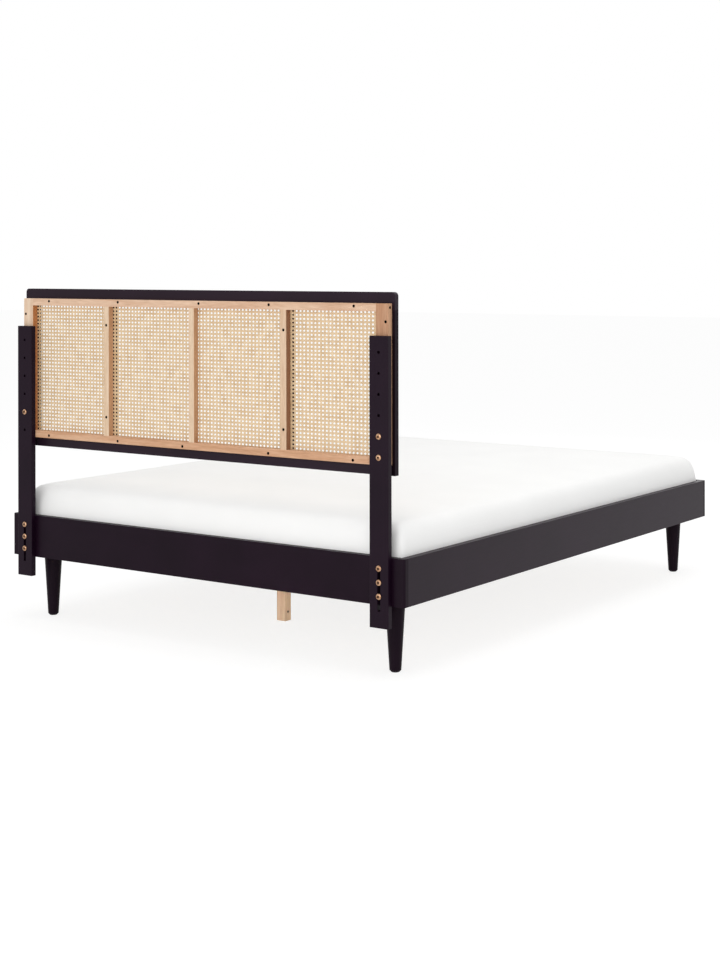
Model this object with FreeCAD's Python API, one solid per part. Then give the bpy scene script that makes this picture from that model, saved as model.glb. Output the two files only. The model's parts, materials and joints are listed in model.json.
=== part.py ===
"""Double bed with a height-adjustable caned headboard.

A low rail box stands on four turned legs and a centre beam with two square legs.
Slats lie on ledges along the side rails and on the beam, and a mattress lies on
the slats. Behind the head rail two flat posts carry the headboard: a painted
front frame, one sheet of cane and a bare wood backing frame laid face to face.
Slots in the posts ride on bolts through the head rail, so that the headboard
can be set higher once those bolts are slackened.

Millimetres. +X is the right side seen from the foot, +Y points to the head and
+Z up. The origin lies on the floor under the middle of the whole bed.
"""

import FreeCAD
import Part
import math
import os

Vector = FreeCAD.Vector

# Rail box
bed_width = 1588.0
bed_length = 2096.0
rail_height = 138.0
rail_thickness = 22.0
rail_corner_radius = 9.0
rail_edge_radius = 2.0

# Turned legs
leg_height = 210.0
leg_inset = 94.0
leg_top_radius = 30.0
leg_foot_radius = 17.5
leg_foot_rounding = 5.5

# Corner blocks that the legs screw into
block_side = 112.0
block_height = 50.0
block_chamfer = 35.0

# Slat deck
mattress_recess = 65.0
slat_count = 12
slat_width = 90.0
slat_thickness = 18.0
slat_end_clearance = 1.0
ledge_width = 25.0
ledge_height = 30.0
ledge_end_clearance = 1.0
webbing_width = 30.0
webbing_thickness = 1.0
webbing_inset = 252.0

# Centre beam, its hangers and its legs
beam_width = 45.0
beam_height = 50.0
hanger_plate = 2.0
hanger_depth = 42.0
hanger_ear = 24.0
hanger_clearance = 0.2
centre_leg_width = 35.0
centre_leg_depth = 30.0
centre_leg_inset = 464.0
cross_hole_radius = 3.0
cross_hole_depth = 12.0
cross_hole_height = 29.5

# Headboard posts
post_width = 65.0
post_thickness = 18.0
post_length = 832.0
post_bottom_z = 148.0
post_edge_radius = 2.0
post_hole_count = 6
post_hole_pitch = 60.0
post_hole_top_margin = 46.5
post_hole_radius = 4.5
rail_bolt_count = 3
rail_bolt_pitch = 40.0
rail_bolt_top_drop = 30.0
slot_travel = 38.0
slot_side_clearance = 1.2

# Painted front frame of the headboard
front_inset = 44.0
front_height = 525.5
front_bottom_z = 579.0
front_thickness = 20.0
front_rail_width = 52.0
front_stile_width = 50.0
front_corner_radius = 12.0
front_edge_radius = 2.5

# Bare wood backing frame
backing_inset = 10.0
backing_height = 462.5
backing_bottom_z = 609.5
backing_thickness = 20.0
backing_rail_width = 23.0
backing_stile_width = 42.0
mullion_width = 22.0
mullion_place_share = 0.5186

# Cane sheet between the two frames
cane_thickness = 1.2
cane_border = 13.0
cane_seat_clearance = 0.1
cane_columns = 5
cane_rows = 8
cane_hole_share = 0.62

# Fasteners
bolt_radius = 4.0
bolt_head_radius = 9.0
bolt_rim_height = 1.2
bolt_dome_height = 2.0
bolt_crown_share = 0.6
panel_bolt_radius = 3.0
panel_bolt_reach = 15.0
stud_radius = 4.0
stud_length = 80.0
bore_clearance = 0.1
slide_clearance = 0.3
overrun = 5.0

# Mattress
mattress_gap = 1.0
mattress_bottom_gap = 0.3
mattress_shoulder_z = 447.0
mattress_crown = 10.0
mattress_shoulder_inset = 72.0
mattress_shoulder_drop = 97.0
mattress_foot_inset = 16.0
mattress_foot_rise = 22.0
mattress_corner_radius = 16.0
mattress_crown_insets = (210.0, 480.0)
mattress_crown_shares = (0.65, 1.0)
shoulder_inset_shares = (0.0, 0.02, 0.055, 0.115, 0.19, 0.32, 0.48, 0.67, 1.0)
shoulder_rise_shares = (0.0, 0.24, 0.41, 0.58, 0.72, 0.845, 0.92, 0.965, 1.0)
foot_angle_shares = (1.0, 0.5)

# Worked-out levels and faces
rail_bottom_z = leg_height
rail_top_z = rail_bottom_z + rail_height
slat_top_z = rail_top_z - mattress_recess
slat_bottom_z = slat_top_z - slat_thickness
beam_bottom_z = slat_bottom_z - beam_height
rear_reach = post_thickness + slide_clearance + bolt_rim_height + bolt_dome_height
head_y = (bed_length - rear_reach) / 2
foot_y = head_y - bed_length
side_x = bed_width / 2
inner_x = side_x - rail_thickness
inner_head_y = head_y - rail_thickness
inner_foot_y = foot_y + rail_thickness
middle_y = (head_y + foot_y) / 2
post_top_z = post_bottom_z + post_length
front_width = bed_width - 2 * front_inset
backing_width = front_width - 2 * backing_inset
opening_x = backing_width / 2 - backing_stile_width
post_x = backing_width / 2 - backing_stile_width / 2
webbing_offset = inner_x - webbing_inset
rail_bolt_top_z = rail_top_z - rail_bolt_top_drop
rail_bolt_levels = [rail_bolt_top_z - step * rail_bolt_pitch for step in range(rail_bolt_count)]
post_hole_levels = [
    post_top_z - post_hole_top_margin - step * post_hole_pitch for step in range(post_hole_count)
]
backing_front_y = head_y - backing_thickness
front_top_z = front_bottom_z + front_height
front_face_y = backing_front_y - front_thickness
backing_top_z = backing_bottom_z + backing_height
opening_bottom_z = backing_bottom_z + backing_rail_width
opening_top_z = backing_top_z - backing_rail_width
mullion_x = opening_x * mullion_place_share
mullion_places = {"left": -mullion_x, "centre": 0.0, "right": mullion_x}
front_mullion_places = {"left": -mullion_x, "right": mullion_x}
sides = {"left": -1, "right": 1}
ends = {"head": (head_y, -1), "foot": (foot_y, 1)}

bores = {}


def box(x0, x1, y0, y1, z0, z1):
    """Return a block between the given faces."""
    low = Vector(min(x0, x1), min(y0, y1), min(z0, z1))
    return Part.makeBox(abs(x1 - x0), abs(y1 - y0), abs(z1 - z0), low)


def turned(points):
    """Return the solid made by turning an (radius, height) outline about Z."""
    corners = [Vector(radius, 0, height) for radius, height in points]
    face = Part.Face(Part.makePolygon(corners + corners[:1]))
    return face.revolve(Vector(0, 0, 0), Vector(0, 0, 1), 360)


def aimed(shape, point, direction):
    """Place a shape made along +Z so that it starts at a point and follows a direction."""
    rotation = FreeCAD.Rotation(Vector(0, 0, 1), Vector(*direction))
    placed = shape.copy()
    placed.Placement = FreeCAD.Placement(Vector(*point), rotation)
    return placed


def rod(point, direction, length, radius):
    """Return a round bar from a point along a direction."""
    return aimed(Part.makeCylinder(radius, length), point, direction)


def note_bore(node, tool):
    """Remember a bore to be cut from a node when that node is written."""
    bores.setdefault(node, []).append(tool)


def note_bores(nodes, tool):
    """Remember one bore for each of several nodes."""
    for node in nodes:
        note_bore(node, tool)


def write(node, shape):
    """Cut a node's remembered bores and write it as a STEP file."""
    if node in bores:
        shape = shape.cut(Part.makeCompound(bores[node]))
    shape = shape.removeSplitter()
    solids = shape.Solids
    kept = solids[0] if len(solids) == 1 else Part.makeCompound(solids)
    kept.exportStep(os.path.join("parts", node + ".step"))


def near(a, b):
    """Tell whether two coordinates are the same within rounding."""
    return abs(a - b) < bore_clearance / 2


def edges_at(shape, **places):
    """Return the edges whose end points all lie at the given coordinates, such as x and z."""
    return [
        edge for edge in shape.Edges
        if all(near(getattr(vertex.Point, axis), place)
               for vertex in edge.Vertexes for axis, place in places.items())
    ]


def domed_bolt(shank_length, shank_radius, head_radius):
    """Return a furniture bolt whose domed head stands up from z = 0."""
    dome_top = bolt_rim_height + bolt_dome_height
    return turned([
        (0, -shank_length),
        (shank_radius, -shank_length),
        (shank_radius, 0),
        (head_radius, 0),
        (head_radius, bolt_rim_height),
        (head_radius * bolt_crown_share, dome_top),
        (0, dome_top),
    ])


def make_rails():
    """Write the four rails of the box: the end rails run full width, the side rails between."""
    for end, (face_y, inward) in ends.items():
        rail = box(-side_x, side_x, face_y, face_y + inward * rail_thickness,
                   rail_bottom_z, rail_top_z)
        corners = edges_at(rail, x=-side_x, y=face_y) + edges_at(rail, x=side_x, y=face_y)
        rail = rail.makeFillet(rail_corner_radius, corners)
        upper = [edge for edge in edges_at(rail, z=rail_top_z) if not near(
            edge.CenterOfMass.y, face_y + inward * rail_thickness)]
        write(end + "_rail", rail.makeFillet(rail_edge_radius, upper))
    for side, sign in sides.items():
        rail = box(sign * inner_x, sign * side_x, inner_foot_y, inner_head_y,
                   rail_bottom_z, rail_top_z)
        upper = edges_at(rail, x=sign * side_x, z=rail_top_z)
        write("side_rail_" + side, rail.makeFillet(rail_edge_radius, upper))


def leg_places():
    """Yield the name, X and Y of each turned leg."""
    for end, (face_y, inward) in ends.items():
        for side, sign in sides.items():
            yield end + "_" + side, sign * (side_x - leg_inset), face_y + inward * leg_inset


def make_legs():
    """Write the turned legs, each a tapered cone with its foot's edge eased."""
    easing = leg_foot_rounding
    for name, x, y in leg_places():
        leg = turned([
            (0, 0),
            (leg_foot_radius - easing, 0),
            (leg_foot_radius, easing),
            (leg_top_radius, leg_height),
            (0, leg_height),
        ])
        leg.translate(Vector(x, y, 0))
        write("leg_" + name, leg)


def make_corner_blocks():
    """Write the blocks in the box's corners, each with its inner corner cut off."""
    top = rail_bottom_z + block_height
    for end, (face_y, inward) in ends.items():
        for side, sign in sides.items():
            start_x = sign * inner_x
            start_y = face_y + inward * rail_thickness
            far_x = start_x - sign * block_side
            far_y = start_y + inward * block_side
            outline = [
                (start_x, start_y),
                (far_x, start_y),
                (far_x, far_y - inward * block_chamfer),
                (far_x + sign * block_chamfer, far_y),
                (start_x, far_y),
            ]
            corners = [Vector(x, y, rail_bottom_z) for x, y in outline]
            face = Part.Face(Part.makePolygon(corners + corners[:1]))
            write("corner_block_" + end + "_" + side,
                  face.extrude(Vector(0, 0, top - rail_bottom_z)))


def make_leg_studs():
    """Write the studs that hold the legs to the blocks and the centre legs to the beam."""
    studs = []
    places = [("leg_" + name, "corner_block_" + name, x, y, leg_height)
              for name, x, y in leg_places()]
    for end, (face_y, inward) in ends.items():
        y = face_y + inward * centre_leg_inset
        places.append(("centre_leg_" + end, "centre_beam", 0.0, y, beam_bottom_z))
    for lower, upper, x, y, joint_z in places:
        start = (x, y, joint_z - stud_length / 2)
        studs.append(rod(start, (0, 0, 1), stud_length, stud_radius))
        note_bores((lower, upper), rod(start, (0, 0, 1), stud_length,
                                       stud_radius + bore_clearance))
    write("leg_studs", Part.makeCompound(studs))


def make_ledges():
    """Write the ledges along the side rails that carry the slats' ends."""
    start_y = inner_foot_y + block_side + ledge_end_clearance
    end_y = inner_head_y - block_side - ledge_end_clearance
    bottom = slat_bottom_z - ledge_height
    for side, sign in sides.items():
        write("slat_ledge_" + side, box(sign * (inner_x - ledge_width), sign * inner_x,
                                        start_y, end_y, bottom, slat_bottom_z))


def make_beam():
    """Write the centre beam, its two steel hangers and its square legs."""
    half = beam_width / 2
    wall = half + hanger_clearance + hanger_plate
    floor_z = beam_bottom_z - hanger_clearance - hanger_plate
    beam_gap = hanger_plate + hanger_clearance
    for end, (face_y, inward) in ends.items():
        inner_y = face_y + inward * rail_thickness
        reach_y = inner_y + inward * hanger_depth
        plate_y = inner_y + inward * hanger_plate
        back = box(-wall - hanger_ear, wall + hanger_ear, inner_y, plate_y, floor_z,
                   slat_bottom_z - hanger_clearance)
        tray = box(-wall, wall, inner_y, reach_y, floor_z, floor_z + hanger_plate)
        cheeks = [box(sign * wall, sign * (wall - hanger_plate), inner_y, reach_y, floor_z,
                      slat_bottom_z - hanger_clearance) for sign in sides.values()]
        write("beam_hanger_" + end, back.fuse([tray] + cheeks))
        leg_y = face_y + inward * centre_leg_inset
        leg = box(-centre_leg_width / 2, centre_leg_width / 2, leg_y - centre_leg_depth / 2,
                  leg_y + centre_leg_depth / 2, 0, beam_bottom_z)
        note_bore("centre_leg_" + end, rod((-centre_leg_width / 2 - overrun, leg_y,
                                            cross_hole_height), (1, 0, 0),
                                           cross_hole_depth + overrun, cross_hole_radius))
        write("centre_leg_" + end, leg)
    write("centre_beam", box(-half, half, inner_foot_y + beam_gap, inner_head_y - beam_gap,
                             beam_bottom_z, slat_bottom_z))


def make_slats():
    """Write the slats, spaced evenly between the end rails, and the webbing that ties them."""
    clear_length = inner_head_y - inner_foot_y
    gap = (clear_length - slat_count * slat_width) / (slat_count + 1)
    half = inner_x - slat_end_clearance
    first_y = inner_foot_y + gap
    for number in range(slat_count):
        y = first_y + number * (slat_width + gap)
        write("slat_%02d" % (number + 1), box(-half, half, y, y + slat_width,
                                              slat_bottom_z, slat_top_z))
    last_y = first_y + (slat_count - 1) * (slat_width + gap) + slat_width
    tapes = [box(sign * webbing_offset - webbing_width / 2, sign * webbing_offset
                 + webbing_width / 2, first_y, last_y, slat_top_z,
                 slat_top_z + webbing_thickness) for sign in sides.values()]
    write("slat_webbing", Part.makeCompound(tapes))


def make_rail_bolts():
    """Write the bolts through the head rail on which the posts' slots ride."""
    rear_y = head_y + post_thickness
    length = rear_y - inner_head_y - rail_edge_radius
    bolts = []
    for sign in sides.values():
        for level in rail_bolt_levels:
            point = (sign * post_x, rear_y + slide_clearance, level)
            bolts.append(aimed(domed_bolt(length, bolt_radius, bolt_head_radius),
                               point, (0, 1, 0)))
            note_bore("head_rail", rod((sign * post_x, inner_head_y - overrun, level), (0, 1, 0),
                                       rail_thickness + 2 * overrun,
                                       bolt_radius + bore_clearance))
    write("rail_bolts", Part.makeCompound(bolts))


def make_panel_bolts():
    """Write the bolts that hold the panel: two in the left post and one in the right."""
    rear_y = head_y + post_thickness
    length = post_thickness + panel_bolt_reach
    bolts = []
    for side, sign in sides.items():
        for level in post_hole_levels[-2:]:
            if side == "left" or level == post_hole_levels[-2]:
                bolts.append(aimed(domed_bolt(length, panel_bolt_radius, bolt_head_radius),
                                   (sign * post_x, rear_y, level), (0, 1, 0)))
            note_bore("backing_stile_" + side, rod((sign * post_x, rear_y - length, level),
                                                   (0, 1, 0), panel_bolt_reach + overrun,
                                                   panel_bolt_radius + bore_clearance))
    write("panel_bolts", Part.makeCompound(bolts))


def make_posts():
    """Write the posts with their row of holes and the slot that rides on the rail bolts."""
    slot_radius = bolt_radius + slot_side_clearance
    slot_top_z = rail_bolt_levels[0]
    slot_bottom_z = rail_bolt_levels[-1] - slot_travel
    for side, sign in sides.items():
        x = sign * post_x
        post = box(x - post_width / 2, x + post_width / 2, head_y, head_y + post_thickness,
                   post_bottom_z, post_top_z)
        post = post.makeFillet(post_edge_radius, [
            edge for edge in post.Edges
            if near(edge.Length, post_length) and edge.BoundBox.YMin > head_y + post_edge_radius
        ])
        start_y = head_y - overrun
        depth = post_thickness + 2 * overrun
        for level in post_hole_levels:
            note_bore("post_" + side, rod((x, start_y, level), (0, 1, 0), depth,
                                          post_hole_radius))
        for level in (slot_top_z, slot_bottom_z):
            note_bore("post_" + side, rod((x, start_y, level), (0, 1, 0), depth, slot_radius))
        note_bore("post_" + side, box(x - slot_radius, x + slot_radius, start_y, start_y + depth,
                                      slot_bottom_z, slot_top_z))
        write("post_" + side, post)


def make_backing_frame():
    """Write the bare wood frame: full-height stiles, rails between them and mullions."""
    for side, sign in sides.items():
        write("backing_stile_" + side, box(sign * opening_x, sign * backing_width / 2,
                                           backing_front_y, head_y,
                                           backing_bottom_z, backing_top_z))
    for name, low, high in (("top", opening_top_z, backing_top_z),
                            ("bottom", backing_bottom_z, opening_bottom_z)):
        write("backing_" + name + "_rail", box(-opening_x, opening_x, backing_front_y, head_y,
                                               low, high))
    for name, x in mullion_places.items():
        write("backing_mullion_" + name, box(x - mullion_width / 2, x + mullion_width / 2,
                                             backing_front_y, head_y,
                                             opening_bottom_z, opening_top_z))


def cane_outline(margin):
    """Return the sheet's block, wider by a margin all round, for the sheet and its seat."""
    edge = cane_border + margin
    return box(-opening_x - edge, opening_x + edge, backing_front_y,
               backing_front_y - cane_thickness - margin,
               opening_bottom_z - edge, opening_top_z + edge)


def make_front_frame():
    """Write the painted frame, rebated behind its opening for the cane."""
    seat = cane_outline(cane_seat_clearance)
    half = front_width / 2
    rail_low_z = front_top_z - front_rail_width
    rail_high_z = front_bottom_z + front_rail_width
    inner = half - front_stile_width
    top_rail = box(-half, half, front_face_y, backing_front_y, rail_low_z, front_top_z)
    corners = (edges_at(top_rail, x=-half, z=front_top_z)
               + edges_at(top_rail, x=half, z=front_top_z))
    top_rail = top_rail.makeFillet(front_corner_radius, corners)
    shown = [edge for edge in edges_at(top_rail, y=front_face_y)
             if edge.BoundBox.ZMax > rail_low_z + front_edge_radius]
    top_rail = top_rail.makeFillet(front_edge_radius, shown)
    write("front_top_rail", top_rail.cut(seat))
    bottom_rail = box(-inner, inner, front_face_y, backing_front_y, front_bottom_z, rail_high_z)
    write("front_bottom_rail", bottom_rail.cut(seat))
    for side, sign in sides.items():
        stile = box(sign * inner, sign * half, front_face_y, backing_front_y,
                    front_bottom_z, rail_low_z)
        shown = edges_at(stile, x=sign * half, y=front_face_y)
        stile = stile.makeFillet(front_edge_radius, shown)
        write("front_stile_" + side, stile.cut(seat))
    for name, x in front_mullion_places.items():
        mullion = box(x - mullion_width / 2, x + mullion_width / 2, front_face_y,
                      backing_front_y, rail_high_z, rail_low_z)
        write("front_mullion_" + name, mullion.cut(seat))


def bay_edges():
    """Return the left and right edge of each of the four bays between the mullions."""
    faces = [-opening_x]
    for x in sorted(mullion_places.values()):
        faces += [x - mullion_width / 2, x + mullion_width / 2]
    faces.append(opening_x)
    return list(zip(faces[::2], faces[1::2]))


def make_cane():
    """Write the cane as one sheet whose holes fill each bay in rows and columns."""
    sheet = cane_outline(0)
    face = max((face for face in sheet.Faces if near(face.CenterOfMass.y, backing_front_y)),
               key=lambda item: item.Area)
    holes = []
    pitch_z = (opening_top_z - opening_bottom_z) / cane_rows
    for left, right in bay_edges():
        pitch_x = (right - left) / cane_columns
        half_x = pitch_x * cane_hole_share / 2
        half_z = pitch_z * cane_hole_share / 2
        for column in range(cane_columns):
            for row in range(cane_rows):
                x = left + (column + 1 / 2) * pitch_x
                z = opening_bottom_z + (row + 1 / 2) * pitch_z
                corners = [Vector(x + a * half_x, backing_front_y, z + b * half_z)
                           for a, b in ((-1, -1), (1, -1), (1, 1), (-1, 1), (-1, -1))]
                holes.append(Part.makePolygon(corners))
    holed = Part.makeFace([face.OuterWire] + holes, "Part::FaceMakerBullseye")
    write("cane_sheet", holed.extrude(Vector(0, -cane_thickness, 0)))


def rounded_outline(inset, z):
    """Return the mattress's outline at a level, drawn in by an inset."""
    half_x = inner_x - mattress_gap - inset
    high_y = inner_head_y - mattress_gap - inset
    low_y = inner_foot_y + mattress_gap + inset
    radius = mattress_corner_radius
    edges = []
    corners = ((half_x, high_y, 1, 1), (-half_x, high_y, -1, 1),
               (-half_x, low_y, -1, -1), (half_x, low_y, 1, -1))
    diagonal = radius * (1 - math.sqrt(1 / 2))
    previous = None
    first = None
    for x, y, sx, sy in corners:
        side_point = Vector(x, y - sy * radius, z)
        end_point = Vector(x - sx * radius, y, z)
        middle = Vector(x - sx * diagonal, y - sy * diagonal, z)
        start, stop = (side_point, end_point) if sx * sy > 0 else (end_point, side_point)
        if previous is not None:
            edges.append(Part.makeLine(previous, start))
        first = first or start
        edges.append(Part.Arc(start, middle, stop).toShape())
        previous = stop
    edges.append(Part.makeLine(previous, first))
    return Part.Wire(edges)


def make_mattress():
    """Write the mattress: rolled lower edge, deep soft shoulders and a slight crown."""
    bottom_z = slat_top_z + webbing_thickness + mattress_bottom_gap
    sections = []
    for share in foot_angle_shares:
        angle = math.radians(90 * share)
        inset = mattress_foot_inset * (1 - math.cos(angle))
        z = bottom_z + mattress_foot_rise * (1 - math.sin(angle))
        sections.append((inset, z))
    start_z = mattress_shoulder_z - mattress_shoulder_drop
    for inset_share, rise_share in zip(shoulder_inset_shares, shoulder_rise_shares):
        sections.append((mattress_shoulder_inset * inset_share,
                         start_z + mattress_shoulder_drop * rise_share))
    for inset, share in zip(mattress_crown_insets, mattress_crown_shares):
        sections.append((inset, mattress_shoulder_z + mattress_crown * share))
    wires = [rounded_outline(inset, z) for inset, z in sections]
    write("mattress", Part.makeLoft(wires, True, True))


def main():
    """Write every node of the bed."""
    os.makedirs("parts", exist_ok=True)
    make_leg_studs()
    make_rail_bolts()
    make_panel_bolts()
    make_ledges()
    make_beam()
    make_legs()
    make_corner_blocks()
    make_slats()
    make_posts()
    make_backing_frame()
    make_front_frame()
    make_cane()
    make_mattress()
    make_rails()


main()
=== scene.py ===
"""Looks of a double bed: painted frame, bare wood backing, woven cane and a white mattress.

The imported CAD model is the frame. Its rigid nodes stay and take procedural materials.
The cane sheet, the bolts and the mattress are replaced by fuller pieces, and the small
screws are added here. Everything is in metres, +Z up, with the bed's head towards +Y.
"""

from __future__ import annotations

import json
import logging
import math
from dataclasses import dataclass, field, replace
from enum import Enum

import bmesh
import bpy
from bmesh.types import BMEdge, BMesh, BMVert
from bpy.types import Material, Mesh, Node, NodeSocket as Socket, NodeTree as Tree, Object
from mathutils import Matrix, Vector

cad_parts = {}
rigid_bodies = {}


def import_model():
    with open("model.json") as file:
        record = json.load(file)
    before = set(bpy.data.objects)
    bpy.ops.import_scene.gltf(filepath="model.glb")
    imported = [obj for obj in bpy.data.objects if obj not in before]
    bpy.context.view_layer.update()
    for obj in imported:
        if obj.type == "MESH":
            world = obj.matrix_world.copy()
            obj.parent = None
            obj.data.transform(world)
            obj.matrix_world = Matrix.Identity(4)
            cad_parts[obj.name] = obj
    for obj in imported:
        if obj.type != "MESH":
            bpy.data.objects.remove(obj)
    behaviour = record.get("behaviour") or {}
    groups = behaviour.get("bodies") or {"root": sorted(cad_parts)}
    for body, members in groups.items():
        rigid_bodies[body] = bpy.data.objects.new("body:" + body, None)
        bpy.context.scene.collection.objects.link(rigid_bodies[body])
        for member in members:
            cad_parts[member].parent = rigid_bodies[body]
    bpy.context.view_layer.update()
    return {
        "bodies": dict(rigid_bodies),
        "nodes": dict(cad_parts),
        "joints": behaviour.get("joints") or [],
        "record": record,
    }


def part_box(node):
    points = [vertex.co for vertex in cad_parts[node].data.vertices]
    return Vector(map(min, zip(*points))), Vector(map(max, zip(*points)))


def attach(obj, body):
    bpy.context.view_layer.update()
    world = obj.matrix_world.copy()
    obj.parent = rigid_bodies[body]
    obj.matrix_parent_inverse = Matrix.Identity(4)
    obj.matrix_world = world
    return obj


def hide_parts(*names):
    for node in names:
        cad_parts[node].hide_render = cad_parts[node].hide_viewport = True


LOG = logging.getLogger("bed")
MM = 0.001
# Vertices closer than this are merged.
WELD = 0.01 * MM
# How much of a finish's shift goes along X, Y and Z.
SHIFT_SHARES = (1.0, 0.7, 1.3)

Row = tuple[float, ...]
Pair = tuple[float, float]
Pairs = tuple[Pair, ...]
Point = tuple[float, float, float]
# Place and outward direction of each screw.
Spots = list[tuple[Vector, Vector]]


class Body(str, Enum):
    """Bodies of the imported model."""

    FRAME = "bed_frame"
    HEADBOARD = "headboard"
    MATTRESS = "mattress_body"


class Slot(str, Enum):
    """Material slots of the record, passed along with new pieces but not given to them."""

    BRASS = "brass_hardware"
    ZINC = "zinc_steel"
    DARK = "dark_steel"
    CANE = "cane"
    FABRIC = "mattress_fabric"


class Grain(Enum):
    """Direction in which fibres run, as stretches of the pattern along X, Y and Z."""

    EVEN = (1.0, 1.0, 1.0)
    X = (0.06, 1.0, 1.0)
    Y = (1.0, 0.06, 1.0)
    Z = (1.0, 1.0, 0.06)


def linear(code: str) -> tuple[float, float, float, float]:
    """Turn an sRGB hex colour into linear light.

    Args:
        code: Six hex digits.

    Returns:
        Red, green, blue and an alpha of one.
    """
    parts = [int(code[at:at + 2], 16) / 255 for at in (0, 2, 4)]
    red, green, blue = (
        part / 12.92 if part <= 0.04045 else ((part + 0.055) / 1.055) ** 2.4 for part in parts)
    return (red, green, blue, 1.0)


def per_metre(size: float) -> float:
    """Return the texture scale that gives features of a size in millimetres."""
    return 1 / (size * MM)


def add_node(tree: Tree, kind: str, settings: dict[str | int, object] | None = None,
             links: dict[str | int, Socket] | None = None) -> Node:
    """Add one shader node with its settings and links.

    Args:
        tree: The node tree.
        kind: The node's type, without "ShaderNode".
        settings: Properties and input values by name, and a ramp's colours by position as
            "stops".
        links: Sockets that feed the node's inputs, by the inputs' names.

    Returns:
        The node.
    """
    node = tree.nodes.new(f"ShaderNode{kind}")
    for name, value in (settings or {}).items():
        if name == "stops":
            elements = node.color_ramp.elements
            while len(elements) < len(value):
                elements.new(0.5)
            for element, (position, code) in zip(elements, value.items()):
                element.position, element.color = position, linear(code)
        elif isinstance(name, str) and hasattr(node, name):
            setattr(node, name, value)
        else:
            node.inputs[name].default_value = value
    for name, socket in (links or {}).items():
        tree.links.new(socket, node.inputs[name])
    return node


@dataclass(frozen=True)
class Finish:
    """A surface in two or more tones, roughened and raised by a finer pattern.

    Attributes:
        name: The material's name.
        tones: sRGB colours, from the darkest on.
        grain: Direction of the fine pattern.
        tone_mm: Size of the changes of tone.
        tone_detail: Levels of finer changes within them.
        stops: Place of each tone in their pattern.
        fine_mm: Width of the fine pattern's features.
        rough: Lowest and highest roughness.
        relief: Strength of the relief.
        relief_mm: Depth of the relief.
        fine_detail: Levels of finer features within the fine pattern.
        gloss: Specular level.
        metallic: Share of metal.
        sheen: Share of fuzz.
        bend: How far the changes of tone wander.
        shift: Shift of the pattern along the grain in metres, so that pieces differ.
    """

    name: str
    tones: tuple[str, ...]
    grain: Grain
    tone_mm: float
    tone_detail: float
    stops: Row
    fine_mm: float
    rough: Pair
    relief: float
    relief_mm: float
    fine_detail: float = 2.0
    gloss: float = 0.5
    metallic: float = 0.0
    sheen: float = 0.0
    bend: float = 0.0
    shift: float = 0.0

    def colour(self, tree: Tree, place: Socket, along: Socket, fine: Socket) -> Socket:
        """Colour the surface in soft changes of tone.

        Args:
            tree: The material's node tree.
            place: Object coordinates.
            along: The same, drawn out along the grain; not used.
            fine: The fine pattern; not used.

        Returns:
            The colour.
        """
        changes = add_node(
            tree, "TexNoise",
            {"Scale": per_metre(self.tone_mm), "Detail": self.tone_detail,
             "Distortion": self.bend}, {"Vector": place})
        # Where there are more stops than tones, the tones after the darkest come again.
        stops = dict(zip(self.stops, self.tones + self.tones[1:]))
        return add_node(tree, "ValToRGB", {"stops": stops},
                        {"Fac": changes.outputs["Fac"]}).outputs["Color"]

    def fine(self, tree: Tree, along: Socket) -> Socket:
        """Draw the fine pattern.

        Args:
            tree: The material's node tree.
            along: Object coordinates drawn out along the grain.

        Returns:
            The pattern.
        """
        return add_node(tree, "TexNoise",
                        {"Scale": per_metre(self.fine_mm), "Detail": self.fine_detail},
                        {"Vector": along}).outputs["Fac"]

    def build(self) -> Material:
        """Build the finish.

        Returns:
            The material.
        """
        material = bpy.data.materials.new(self.name)
        material.use_nodes = True
        tree = material.node_tree
        tree.nodes.clear()
        place = add_node(tree, "TexCoord").outputs["Object"]
        shift = tuple(self.shift * share for share in SHIFT_SHARES)
        along = add_node(tree, "Mapping", {"Scale": self.grain.value, "Location": shift},
                         {"Vector": place}).outputs[0]
        fine = self.fine(tree, along)
        roughness = add_node(
            tree, "MapRange", {"To Min": self.rough[0], "To Max": self.rough[1]}, {"Value": fine})
        bump = add_node(tree, "Bump", {"Strength": self.relief, "Distance": self.relief_mm * MM},
                        {"Height": fine})
        surface = add_node(
            tree, "BsdfPrincipled",
            {"Specular IOR Level": self.gloss, "Metallic": self.metallic,
             "Sheen Weight": self.sheen},
            {"Base Color": self.colour(tree, place, along, fine),
             "Roughness": roughness.outputs[0], "Normal": bump.outputs[0]})
        add_node(tree, "OutputMaterial", links={"Surface": surface.outputs[0]})
        return material


@dataclass(frozen=True)
class SatinPaint(Finish):
    """Satin lacquer, sprayed on closed-grain wood and flatted.

    To the eye it is nearly black with a plum cast, in the faint clouds that spraying leaves.
    The fibres beneath print through as a fine roughness, and flatting keeps the gloss low.
    """

    tone_mm: float = 140.0
    tone_detail: float = 4.0
    stops: Row = (0.3, 0.75)
    fine_mm: float = 2.6  # Fibres of 0.3 mm wouldn't show, so they are drawn coarser.
    fine_detail: float = 5.0
    rough: Pair = (0.38, 0.46)
    relief: float = 0.16
    relief_mm: float = 0.6


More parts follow.
